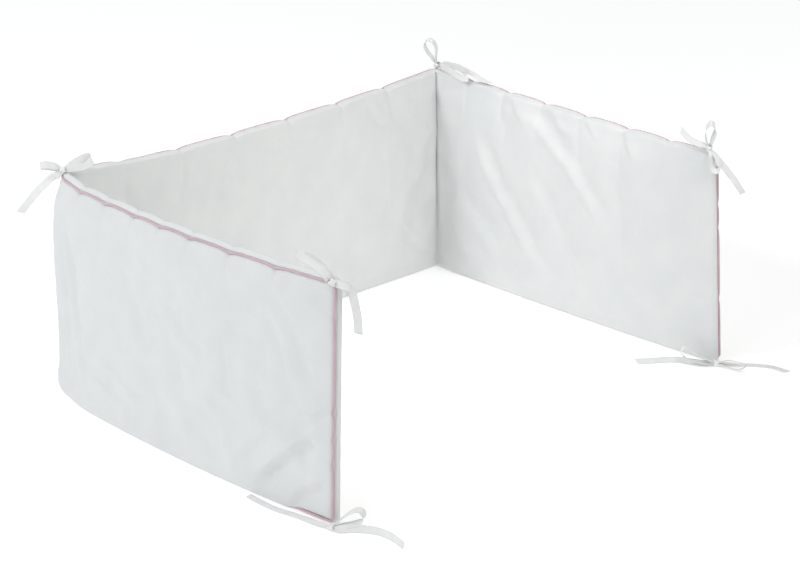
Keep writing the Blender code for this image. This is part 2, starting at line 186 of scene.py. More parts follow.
def tucked_under(distance):
    """Nought near the two ends, where the foot's seam lies open, and one where it is tucked under."""
    return smooth((from_nearer_end(distance) - 0.038) / 0.052)


def panel_share(distance):
    """Which panel a place is in, and its share of the way along it."""
    index = np.searchsorted(FOLDS, distance)
    return index, (distance - PANEL_STARTS[index]) / PANEL_LENGTHS[index]


def seam_depth(distance):
    """How far below the crest of the roll the piped seam runs along the top edge."""
    near_corner = closeness(distance, SEAM_CORNERS, SEAM_CORNER_REACH)
    higher = past_left_panel(distance) * (SEAM_HIGHER + SEAM_HIGHER_IN_CORNERS * near_corner)
    return (SEAM_ROW - higher) * MILLIMETRE


def seam_dip(distance):
    """The seam's own sharper dip at each pinch."""
    return SEAM_PINCH_DIP * closeness(distance, PINCHES, SEAM_PINCH_REACH)


def top_edge(distance):
    """Height of the crest of the roll."""
    index, share = panel_share(distance)
    sag = np.array([bow[2] for bow in BOWS])[index] * 4.0 * share * (1.0 - share)
    pinch = np.exp(-(nearest(distance, PINCHES) / TOP_PINCH_REACH) ** 1.3)
    end_drop = END_DROP * (1.0 - smooth(from_nearer_end(distance) / END_DROP_REACH))
    past_fold = np.asarray(distance) - FOLDS[0]
    drawn_up = np.where(past_fold < 0.0, np.maximum(1.0 + past_fold / RISE_BEFORE_FOLD, 0.0),
                        1.0 - smooth((past_fold - RISE_HELD_PAST_FOLD) / RISE_FADE))
    return HEIGHT - sag - TOP_PINCH_DIP * pinch - end_drop + FOLD_RISE * drawn_up


# Rows of the cover's outline in millimetres. The underside runs from the inner foot to the
# outer foot: the seam lies open there near the ends and is tucked under everywhere else.
# underside: out and up where open, out and up where tucked
UNDERSIDE = (
    (-11.5, 18.5, -11.5, 18.5), (-11.1, 10.5, -11.1, 10.5), (-10.2, 4.6, -10.2, 4.6),
    (-8.6, 1.0, -8.6, 1.0), (-6.4, 0.0, -6.4, 0.0), (-3.0, 0.0, -4.0, 0.0), (0.8, 0.0, -1.8, 0.0),
    (2.3, 0.8, -1.1, 1.2), (2.9, 2.6, -0.7, 4.4), (3.2, 4.2, 1.6, 6.0), (4.3, 5.3, 4.8, 5.0),
    (5.6, 5.7, 5.5, 1.2), (6.6, 6.8, 6.3, 0.0), (7.3, 8.8, 8.2, 0.0), (7.8, 12.0, 9.8, 2.8),
    (8.1, 18.0, 10.2, 9.0),
)
# depth below the crest or in from an end, then the outer and the inner face
TOP_ROLL = (
    (0.0, -2.4, -2.4), (0.5, 0.3, -4.9), (1.7, 2.4, -7.4), (3.3, 3.7, -8.9), (4.4, 3.5, -9.6),
    (5.7, 3.1, -10.1), (7.0, 4.3, -10.5), (8.2, 5.9, -10.9), (11.0, 7.4, -11.3), (16.5, 8.2, -11.7),
)
END_ROLL = (
    (-0.7, -1.3, -1.3), (0.0, 0.5, -3.0), (1.0, 1.7, -5.0), (2.4, 2.4, -6.4), (3.6, 2.7, -7.2),
    (5.0, 4.0, -8.0), (6.8, 6.0, -8.9), (10.5, 7.6, -10.3), (16.0, 8.1, -11.3), (24.0, 8.3, -11.8),
)
FACE_LEVELS = np.linspace(0.0275, 0.2755, 28)
FACE_STEP = 0.009
PINCH_STEP = 0.0034
# how far the pads swell the outer and the inner face between the seams
SWELL = (0.0038, -0.0034)
# how far the outer face stands out at the left fold and draws in at the right one
LEFT_FOLD_BULGE = 0.0034
RIGHT_FOLD_BULGE = -0.0035
FOLD_REACH = 0.020
# the inner face is drawn in to a line at each fold
FOLD_LINE = -0.0040
CREASE_REACH = 0.014
CREASE_DEPTH = 0.85
SEAM_PULL = 0.0012
SEAM_PULL_REACH = 0.006
MIDDLE = 0.5 * LENGTH

end_roll = np.array(END_ROLL) * MILLIMETRE
end_columns = end_roll[:, 0]
columns = list(np.arange(0.033, LENGTH - 0.0325, FACE_STEP))
for pinch in PINCHES:
    columns = [column for column in columns if abs(column - pinch) > 2.0 * PINCH_STEP]
    columns += [pinch - PINCH_STEP, pinch, pinch + PINCH_STEP]
columns = np.concatenate([end_columns, sorted(columns), (LENGTH - end_columns)[::-1]])


def cover_section(distance):
    """One outline across the cover, from the inner foot under it, up, over and down again."""
    from_end = from_nearer_end(distance)
    from_fold = nearest(distance, np.array(FOLDS))
    fold = 1.0 - smooth(from_fold / FOLD_REACH)
    crease = 1.0 - smooth(from_fold / CREASE_REACH)
    tucked = tucked_under(distance)
    top = top_edge(distance)
    foot = np.array(UNDERSIDE) * MILLIMETRE
    foot = foot[:, :2] * (1.0 - tucked) + foot[:, 2:] * tucked
    roll = np.array(TOP_ROLL) * MILLIMETRE
    seam = seam_depth(distance) + seam_dip(distance)
    lowest = roll[-1, 0]
    depths = np.interp(roll[:, 0], [0.0, SEAM_ROW * MILLIMETRE, lowest], [0.0, seam, lowest])
    below_seam = np.exp(-((roll[:, 0] - 0.0085) / 0.005) ** 2)
    pulled = SEAM_PULL * closeness(distance, PINCHES, SEAM_PULL_REACH) * below_seam
    share = min(max(panel_share(distance)[1], 0.0), 1.0)
    levels = FACE_LEVELS * top / HEIGHT
    full_height = np.sin(np.pi * FACE_LEVELS / HEIGHT) ** 0.6
    crown = math.sin(math.pi * share) ** 0.45 * full_height
    settle = smooth((np.minimum(top - levels, from_end) - 0.012) / 0.020)
    rims = [np.interp(from_end, end_columns, end_roll[:, side]) for side in (1, 2)]
    faces = [rim + swell * crown * settle for rim, swell in zip(rims, SWELL)]
    bulge = LEFT_FOLD_BULGE * full_height if distance < MIDDLE else RIGHT_FOLD_BULGE
    faces[0] = faces[0] + bulge * fold * settle
    edges = [np.minimum(roll[:, 1] - pulled, rims[0]), np.maximum(roll[:, 2], rims[1])]
    outer, inner = (np.column_stack([np.concatenate([face, edge[::-1]]),
                                     np.concatenate([levels, top - depths[::-1]])])
                    for face, edge in zip(faces, edges))
    foot[:, 0] = np.clip(foot[:, 0], rims[1], max(rims[0], 0.0 if from_end < 0.03 else 0.02))
    outline = np.concatenate([foot, outer, inner[::-1][1:]])
    drawn = outline[:, 0] < FOLD_LINE
    outline[drawn, 0] = FOLD_LINE + (outline[drawn, 0] - FOLD_LINE) * (1.0 - CREASE_DEPTH * crease)
    return outline


sections = np.array([cover_section(distance) for distance in columns])
rows = sections.shape[1]
# The two faces meet in one line at each end.
crest = len(UNDERSIDE) + len(FACE_LEVELS) + len(TOP_ROLL) - 1
for end in (0, -1):
    for step in range(1, rows // 2 + 1):
        pair = [(crest - step) % rows, (crest + step) % rows]
        sections[end, pair, 1] = sections[end, pair, 1].mean()
    sections[end, :, 0] = end_roll[0, 1]
middle_section = sections[len(columns) // 2]
girth = running_total(np.linalg.norm(np.diff(middle_section, axis=0, append=middle_section[:1]), axis=1))

bm = bmesh.new()
bmesh.ops.create_grid(bm, x_segments=len(columns) - 1, y_segments=rows, size=0.5)
cut = bm.loops.layers.uv.new("cut")
places = {vertex: (round((vertex.co.x + 0.5) * (len(columns) - 1)), round((vertex.co.y + 0.5) * rows))
          for vertex in bm.verts}
for face in bm.faces:
    face.smooth = True
    for loop in face.loops:
        column, row = places[loop.vert]
        loop[cut].uv = (columns[column] / LENGTH, girth[row] / LENGTH)
for vertex, (column, row) in places.items():
    out, up = sections[column, row % rows]
    vertex.co = (columns[column], out, up)
bmesh.ops.remove_doubles(bm, verts=bm.verts[:], dist=0.00001)
bmesh.ops.dissolve_degenerate(bm, edges=bm.edges[:], dist=0.000001)
bmesh.ops.recalc_face_normals(bm, faces=bm.faces[:])
if bm.calc_volume(signed=True) < 0.0:
    bmesh.ops.reverse_faces(bm, faces=bm.faces[:])
cover_mesh = bpy.data.meshes.new("padded_cover")
bm.to_mesh(cover_mesh)
bm.free()


def place_piece(name, data):
    piece = bpy.data.objects.new(name, data)
    bpy.context.scene.collection.objects.link(piece)
    return piece


cover = place_piece("padded_cover", cover_mesh)


def read_vertices(mesh, attribute="co"):
    values = np.empty(len(mesh.vertices) * 3)
    mesh.vertices.foreach_get(attribute, values)
    return values.reshape(-1, 3)


# The cloth is cut a little larger than the pad, so it buckles into soft creases between the
# seams that hold it. The seams, the fold lines inside and the foot stay where they are.
SLACK = 0.010
CLOTH_FRAMES = 16
MOST_MOVE = 0.0055
UNEVENNESS = 0.0005
laid = read_vertices(cover_mesh)
grain = np.array([noise.noise(Vector(point) * 32.0) for point in laid])
from_edges = np.minimum.reduce([laid[:, 0], LENGTH - laid[:, 0], laid[:, 2], HEIGHT - laid[:, 2]])
held = 1.0 - smooth((from_edges - 0.010) / 0.016)
inside = laid[:, 1] < FOLD_LINE
at_fold = nearest(laid[:, 0], np.array(FOLDS))
held = np.maximum(held, np.where(inside, 1.0 - smooth((at_fold - 0.006) / 0.020), 0.0))
laid[:, 1] += UNEVENNESS * grain * (1.0 - held)
cover_mesh.vertices.foreach_set("co", laid.ravel())
sewn = cover.vertex_groups.new(name="sewn")
for index in np.flatnonzero(held > 0.0):
    sewn.add([int(index)], float(held[index]), "REPLACE")
cloth = cover.modifiers.new("cloth", "CLOTH")
cloth.settings.quality = 5
cloth.settings.mass = 0.3
cloth.settings.tension_stiffness = 15.0
cloth.settings.compression_stiffness = 15.0
cloth.settings.shear_stiffness = 5.0
cloth.settings.bending_stiffness = 0.25
cloth.settings.use_pressure = True
cloth.settings.uniform_pressure_force = 0.05
cloth.settings.effector_weights.gravity = 0.0
cloth.settings.vertex_group_mass = "sewn"
cloth.settings.pin_stiffness = 1.0
cloth.settings.shrink_min = -SLACK
cloth.settings.shrink_max = -SLACK
cloth.collision_settings.use_collision = False
cloth.point_cache.frame_start = 1
cloth.point_cache.frame_end = CLOTH_FRAMES
for number in range(1, CLOTH_FRAMES + 1):
    bpy.context.scene.frame_set(number)
settled = cover.evaluated_get(bpy.context.evaluated_depsgraph_get())
moved = read_vertices(settled.data) - laid
length = np.linalg.norm(moved, axis=1)
moved *= (MOST_MOVE * np.tanh(length / MOST_MOVE) / np.maximum(length, 1e-9))[:, None]
cover.modifiers.clear()
bpy.context.scene.frame_set(1)
cover_mesh.vertices.foreach_set("co", (laid + moved).ravel())
cover_mesh.update()
cover.vertex_groups.clear()

rounding = cover.modifiers.new("rounding", "SUBSURF")
rounding.levels = 1
rounding.render_levels = 1
rounding.uv_smooth = "PRESERVE_BOUNDARIES"
fine = bpy.data.meshes.new_from_object(cover.evaluated_get(bpy.context.evaluated_depsgraph_get()))
cover.modifiers.clear()
cover.data = fine
fine.name = "padded_cover"
bpy.data.meshes.remove(cover_mesh)

# Creases from folding and handling, worked into the cloth along its normals.
points = read_vertices(fine)
normals = read_vertices(fine, "normal")
distance, out, up = points.T
outer_side = smooth((normals[:, 1] + 0.35) / 0.7)
inner_side = 1.0 - outer_side
move = np.zeros(len(points))


def along_line(line):
    """Signed offset from a bent line on the cloth, and how far along it, from nought to one."""
    line = np.array(line)
    best = np.full(len(points), 1e9)
    signed = np.zeros(len(points))
    share = np.zeros(len(points))
    lengths = np.linalg.norm(np.diff(line, axis=0), axis=1)
    starts = running_total(lengths)
    for number, (begin, end) in enumerate(zip(line, line[1:])):
        run = (end - begin) / lengths[number]
        offset = np.column_stack([distance, up]) - begin
        travel = np.clip(offset @ run, 0.0, lengths[number])
        gap = np.linalg.norm(offset - travel[:, None] * run, axis=1)
        closer = gap < best
        best[closer] = gap[closer]
        signed[closer] = (np.sign(offset[:, 1] * run[0] - offset[:, 0] * run[1]) * gap)[closer]
        share[closer] = (starts[number] + travel[closer]) / starts[-1]
    return signed, share


def fold_cloth(line, width, rise, side):
    """A soft fold: a ridge to the left of the line and a groove to its right."""
    signed, share = along_line(line)
    taper = smooth(share / 0.25) * smooth((1.0 - share) / 0.25)
    fade = np.exp(-np.maximum(np.abs(signed) - 3.0 * width, 0.0) / width)
    narrow = 0.6 * width
    ridge = np.exp(-((signed - width) / width) ** 2) - 0.9 * np.exp(-((signed + narrow) / narrow) ** 2)
    return rise * ridge * taper * fade * side


# folds: line as distance along the cover and height, width, rise (below nought: groove first)
OUTER_FOLDS = (
    (((0.527, 0.275), (0.515, 0.194), (0.500, 0.143), (0.489, 0.110), (0.478, 0.072), (0.474, 0.020)),
     0.0075, 0.0029),
    (((0.536, 0.265), (0.532, 0.190), (0.524, 0.120), (0.516, 0.050)), 0.0060, 0.0015),
    (((0.440, 0.092), (0.400, 0.074), (0.346, 0.056)), 0.0070, 0.0019),
    (((0.455, 0.060), (0.415, 0.045), (0.370, 0.038)), 0.0070, 0.0013),
    (((0.140, 0.012), (0.120, 0.026), (0.091, 0.053), (0.068, 0.072), (0.015, 0.112)), 0.0090, -0.0041),
    (((0.185, 0.020), (0.150, 0.045), (0.118, 0.080), (0.075, 0.104)), 0.0090, -0.0022),
    (((0.072, 0.000), (0.067, 0.012), (0.054, 0.026), (0.010, 0.052)), 0.0065, -0.0029),
    (((0.070, 0.116), (0.040, 0.124), (0.006, 0.138)), 0.0065, -0.0017),
    (((0.300, 0.200), (0.255, 0.170), (0.205, 0.150)), 0.0120, 0.0022),
    (((0.400, 0.230), (0.360, 0.180), (0.330, 0.120)), 0.0130, 0.0022),
    (((0.360, 0.262), (0.330, 0.240), (0.295, 0.232)), 0.0090, 0.0015),
    (((0.200, 0.120), (0.170, 0.100), (0.140, 0.095)), 0.0100, -0.0015),
    (((0.250, 0.090), (0.210, 0.072), (0.185, 0.040)), 0.0090, 0.0014),
    (((0.120, 0.240), (0.090, 0.205), (0.075, 0.160)), 0.0100, 0.0014),
)
INNER_FOLDS = (
    (((1.430, 0.296), (1.486, 0.270), (1.545, 0.230), (1.600, 0.175), (1.630, 0.130)), 0.0130, -0.0033),
    (((1.350, 0.260), (1.382, 0.185), (1.450, 0.102), (1.515, 0.030)), 0.0120, -0.0030),
    (((1.470, 0.200), (1.540, 0.100), (1.575, 0.030)), 0.0110, -0.0020),
    (((1.640, 0.298), (1.650, 0.280), (1.666, 0.256)), 0.0065, 0.0022),
    (((1.420, 0.298), (1.432, 0.278), (1.456, 0.256)), 0.0065, 0.0019),
    (((1.500, 0.298), (1.514, 0.276), (1.536, 0.262)), 0.0065, 0.0019),
    (((1.570, 0.298), (1.582, 0.280), (1.600, 0.268)), 0.0065, 0.0014),
    (((0.900, 0.298), (0.912, 0.270), (0.940, 0.244)), 0.0070, 0.0017),
    (((0.820, 0.290), (0.800, 0.250), (0.790, 0.200)), 0.0100, 0.0014),
    (((1.080, 0.294), (1.100, 0.262), (1.135, 0.240)), 0.0070, 0.0015),
    (((0.700, 0.120), (0.760, 0.150), (0.830, 0.160)), 0.0100, 0.0012),
    (((1.160, 0.090), (1.190, 0.050), (1.235, 0.030)), 0.0080, 0.0013),
)
for line, width, rise in OUTER_FOLDS:
    move += fold_cloth(line, width, rise, outer_side)
for line, width, rise in INNER_FOLDS:
    move += fold_cloth(line, width, rise, inner_side)

# Inside the right panel the pad stops short of the fold lower down, so the cloth slopes in.
PAD_SHORT_AT_TOP = 0.012
PAD_SHORTER_AT_FLOOR = 0.090
PAD_SLOPE = 0.070
PAD_ROUNDING = 0.004
slack_reach = PAD_SHORT_AT_TOP + PAD_SHORTER_AT_FLOOR * (1.0 - up / HEIGHT)
from_fold = distance - FOLDS[1]
slope = np.where(from_fold > 0.0, np.maximum(slack_reach - from_fold, 0.0), 0.0)
slope = np.sqrt(slope ** 2 + PAD_ROUNDING ** 2) - PAD_ROUNDING
move -= PAD_SLOPE * slope * smooth(from_fold / 0.015) * inner_side * smooth(up / 0.02)

# Gathers run away from the seam: a deep one at each pinch and small ones between them.
# gather: distance along the cover, slant, width, depth, reach down from the seam
SMALL_GATHERS = 110
END_GATHER_DEPTH = 0.0014
shuffle = random.Random(41)
gathers = [(pinch, 0.0, 0.0042, 0.0016, 0.024) for pinch in PINCHES]
for number in range(SMALL_GATHERS):
    start = 0.02 + 1.76 * (number + shuffle.random()) / SMALL_GATHERS
    gathers.append((start, shuffle.uniform(-0.5, 0.5), shuffle.uniform(0.0026, 0.0045),
                    shuffle.uniform(0.0002, 0.0008), shuffle.uniform(0.008, 0.020)))
depth = HEIGHT - up
for start, slant, width, fall, reach in gathers:
    near = np.abs(distance - start) < 0.05
    away = distance[near] - start - slant * depth[near]
    fade = np.exp(-np.maximum(depth[near] - 0.004, 0.0) / reach) * smooth(depth[near] / 0.003)
    move[near] -= fall * np.exp(-(away / width) ** 2) * fade
for places, begin, sign in ((LEFT_END_PINCHES, 0.0, 1.0), (RIGHT_END_PINCHES, LENGTH, -1.0)):
    inward = (distance - begin) * sign
    for place in places:
        near = (np.abs(up - place) < 0.04) & (inward < 0.10)
        fade = np.exp(-np.maximum(inward[near] - 0.004, 0.0) / 0.020)
        fold_in = END_GATHER_DEPTH * np.exp(-((up[near] - place) / 0.005) ** 2)
        move[near] -= fold_in * fade * smooth(inward[near] / 0.003)

# A fine crumple and a broader ripple over the faces, fading towards the seams.
CRUMPLE = 0.0006
RIPPLE = 0.0010
crumple = np.array([noise.noise(Vector((x * 62.0, y * 20.0, z * 62.0))) for x, y, z in points])
ripple = np.array([noise.noise(Vector((x * 21.0 + 7.0, y * 15.0, z * 21.0))) for x, y, z in points])
from_edges = np.minimum.reduce([distance, LENGTH - distance, up, HEIGHT - up])
away_from_seam = smooth((from_edges - 0.006) / 0.02)
move += (CRUMPLE * (1.0 - 2.0 * np.abs(crumple)) + RIPPLE * ripple) * away_from_seam

points += normals * move[:, None]
points[:, 2] = np.maximum(points[:, 2], 0.0)
fine.vertices.foreach_set("co", stand_up(*points.T).ravel())
fine.update()

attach(cover, "root")
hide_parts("cover")

# White cotton percale: a tight plain weave with slightly uneven yarns, washed and unpressed.
percale = bpy.data.materials.new("white_percale")
percale.use_nodes = True
nodes, links = percale.node_tree.nodes, percale.node_tree.links
shader = nodes["Principled BSDF"]
shader.inputs["Roughness"].default_value = 0.88
shader.inputs["Specular IOR Level"].default_value = 0.25
shader.inputs["Sheen Weight"].default_value = 0.12
shader.inputs["Sheen Roughness"].default_value = 0.6


def add_node(kind, place, **settings):
    """A node in the material that is being made, or in the light around it."""
    node = nodes.new(kind)
    node.location = place
    for name, value in settings.items():
        setattr(node, name, value)
    return node


def stretched_noise(coordinates, scale, detail, place):
    """A noise with its own scale along each axis."""
    mapping = add_node("ShaderNodeMapping", place)
    mapping.inputs["Scale"].default_value = scale
    pattern = add_node("ShaderNodeTexNoise", (place[0] + 180, place[1]))
    pattern.inputs["Scale"].default_value = 1.0
    pattern.inputs["Detail"].default_value = detail
    links.new(coordinates, mapping.inputs["Vector"])
    links.new(mapping.outputs["Vector"], pattern.inputs["Vector"])
    return pattern.outputs["Fac"]


def tones(place, dark, light):
    """A range of colours, each end given as its place in the range and its red, green and blue."""
    ramp = add_node("ShaderNodeValToRGB", place)
    for element, (position, colour) in zip(ramp.color_ramp.elements, (dark, light)):
        element.position = position
        element.color = (*colour, 1.0)
    return ramp


def bumps(place, strength, depth, height, below=None):
    """Relief from a height pattern, on top of the relief below it."""
    bump = add_node("ShaderNodeBump", place)
    bump.inputs["Strength"].default_value = strength
    bump.inputs["Distance"].default_value = depth
    links.new(height, bump.inputs["Height"])
    if below:
        links.new(below, bump.inputs["Normal"])
    return bump.outputs["Normal"]


sewn_cut = add_node("ShaderNodeUVMap", (-1500, 0), uv_map="cut").outputs["UV"]
solid = add_node("ShaderNodeTexCoord", (-1500, -400)).outputs["Object"]
warp = stretched_noise(sewn_cut, (4200.0, 210.0, 1.0), 2.0, (-1250, 300))
weft = stretched_noise(sewn_cut, (210.0, 4200.0, 1.0), 2.0, (-1250, 60))
cloudy = stretched_noise(solid, (24.0, 24.0, 24.0), 3.0, (-1250, -220))
crinkle = stretched_noise(solid, (130.0, 130.0, 130.0), 4.0, (-1250, -460))
yarns = add_node("ShaderNodeMath", (-800, 200), operation="ADD")
links.new(warp, yarns.inputs[0])
links.new(weft, yarns.inputs[1])
tone = add_node("ShaderNodeMath", (-800, -60), operation="MULTIPLY_ADD")
links.new(yarns.outputs[0], tone.inputs[0])
tone.inputs[1].default_value = 0.25
links.new(cloudy, tone.inputs[2])
colours = tones((-600, -60), (0.35, (0.665, 0.675, 0.680)), (1.0, (0.715, 0.720, 0.715)))
links.new(tone.outputs[0], colours.inputs["Fac"])
links.new(colours.outputs["Color"], shader.inputs["Base Color"])
weave = bumps((-420, -260), 0.20, 0.0002, yarns.outputs[0])
creases = bumps((-220, -260), 0.35, 0.0012, crinkle, weave)
links.new(creases, shader.inputs["Normal"])
fine.materials.append(percale)


# ------------------------------------------------------------------ piping
# A cord covered in dusty pink cotton cut on the bias, sewn into the seam round the outer
# face. It dips where the stitches pull, and turns under the foot away from the two ends.
# The pairs hold for the left panel and for the rest, or for the left and the right end.
PIPING_RADIUS = 0.0014
PIPING_SWELL_UP_ENDS = (1.0, 1.22)
PIPING_SWELL_ALONG_TOP = (0.82, 1.0)
PIPING_FROM_END = (0.0033, 0.0024)
PIPING_FROM_FLOOR = 0.0031
PIPING_OUT = (0.0047, 0.0055)
PIPING_OUT_ENDS = (0.0052, 0.0058)
PIPING_TUCKED_OUT = 0.0020
PIPING_TUCKED_UP = 0.0027
PIPING_STEP = 0.004


def piping_route():
    """One round: along the foot, up the right end, back along the top and down the left end."""
    left = PIPING_FROM_END[0]
    right = LENGTH - PIPING_FROM_END[1]
    along = np.unique(np.concatenate([np.arange(left + 0.003, right - 0.003, PIPING_STEP), PINCHES]))
    tucked = tucked_under(along)
    pull = closeness(along, PINCHES, SEAM_PULL_REACH)
    near_end = np.exp(-(from_nearer_end(along) - 0.006) / 0.008)
    end_out = np.where(along < MIDDLE, *PIPING_OUT_ENDS)
    out = PIPING_OUT[0] + (PIPING_OUT[1] - PIPING_OUT[0]) * past_left_panel(along)
    out = out + (end_out - out) * np.minimum(near_end, 1.0)
    foot = np.column_stack([along, end_out + (PIPING_TUCKED_OUT - end_out) * tucked,
                            PIPING_FROM_FLOOR + (PIPING_TUCKED_UP - PIPING_FROM_FLOOR) * tucked])
    top = np.column_stack([along, out - 0.0004 * pull, top_edge(along) - seam_depth(along) - seam_dip(along)])
    rise = np.arange(0.008, 0.2905, PIPING_STEP)
    route = [foot]
    for places, end, sign in ((RIGHT_END_PINCHES, right, -1.0), (LEFT_END_PINCHES, left, 1.0)):
        dent = 0.0022 * closeness(rise, places, SEAM_PULL_REACH)
        side = np.column_stack([end + sign * dent, np.full(len(rise), PIPING_OUT_ENDS[int(sign < 0)]), rise])
        route += [side, top[::-1]] if sign < 0 else [side[::-1]]
    return np.concatenate(route)


route = piping_route()
spline_points = stand_up(*route.T)
piping_curve = bpy.data.curves.new("pink_piping", "CURVE")
piping_curve.dimensions = "3D"
piping_curve.bevel_depth = PIPING_RADIUS
piping_curve.bevel_resolution = 2
spline = piping_curve.splines.new("POLY")
spline.points.add(len(spline_points) - 1)
for point, place, (along, out, up) in zip(spline.points, spline_points, route):
    point.co = (*place, 1.0)
    along_top = smooth((up - 0.285) / 0.008) * smooth((from_nearer_end(along) - 0.004) / 0.010)
    up_end = PIPING_SWELL_UP_ENDS[int(along > MIDDLE)]
    point.radius = up_end * (1.0 - along_top) + PIPING_SWELL_ALONG_TOP[int(along > FOLDS[0])] * along_top
spline.use_cyclic_u = True
spline.use_smooth = True
piping_cord = place_piece("piping_cord", piping_curve)
cord_shape = piping_cord.evaluated_get(bpy.context.evaluated_depsgraph_get())
piping_mesh = bpy.data.meshes.new_from_object(cord_shape)
piping_mesh.name = "pink_piping"
bpy.data.objects.remove(piping_cord)
bpy.data.curves.remove(piping_curve)
piping = place_piece("pink_piping", piping_mesh)
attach(piping, "root")
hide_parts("piping")

bias = bpy.data.materials.new("pink_bias_cotton")
bias.use_nodes = True
nodes, links = bias.node_tree.nodes, bias.node_tree.links
shader = nodes["Principled BSDF"]
shader.inputs["Roughness"].default_value = 0.85
shader.inputs["Specular IOR Level"].default_value = 0.2
solid = add_node("ShaderNodeTexCoord", (-1100, 0)).outputs["Object"]
fibres = stretched_noise(solid, (900.0, 900.0, 900.0), 2.0, (-900, 0))
faded = stretched_noise(solid, (30.0, 30.0, 30.0), 2.0, (-900, -240))
blend = add_node("ShaderNodeMath", (-520, 0), operation="MULTIPLY_ADD")
links.new(fibres, blend.inputs[0])
blend.inputs[1].default_value = 0.5
links.new(faded, blend.inputs[2])
colours = tones((-340, 0), (0.4, (0.54, 0.36, 0.41)), (1.0, (0.66, 0.48, 0.53)))
links.new(blend.outputs[0], colours.inputs["Fac"])
links.new(colours.outputs["Color"], shader.inputs["Base Color"])
links.new(bumps((-340, -260), 0.4, 0.0002, fibres), shader.inputs["Normal"])
piping_mesh.materials.append(bias)


# ------------------------------------------------------------------ ribbon ties
# White woven ribbon, ten millimetres wide, sewn into the seam at six corners. Each one is
# tied in a bow: the strands gather into a short band wrapped round them, and the free ends
# are cut on a slant.
RIBBON_WIDTH = 0.010
RIBBON_CLOTH = 0.00045
GATHER_LENGTH = 0.013
PLEAT_DEPTH = 0.0008
CUP_DEPTH = 0.0005
END_SLANT = 0.35
RIBBON_COLUMNS = 8
STRAND_STEP = 0.0014
LOWEST = 0.0004
BAND_TURN = 0.026
BAND_WIDTH = 0.0082
BAND_RADIUS = 0.0043
# the bows are laid out to the right, away and up as seen from the front left
RIGHT = np.array((0.7002, -0.7139, 0.0))
AWAY = np.array((0.7139, 0.7002, 0.0))
UPWARD = np.array((0.0, 0.0, 1.0))
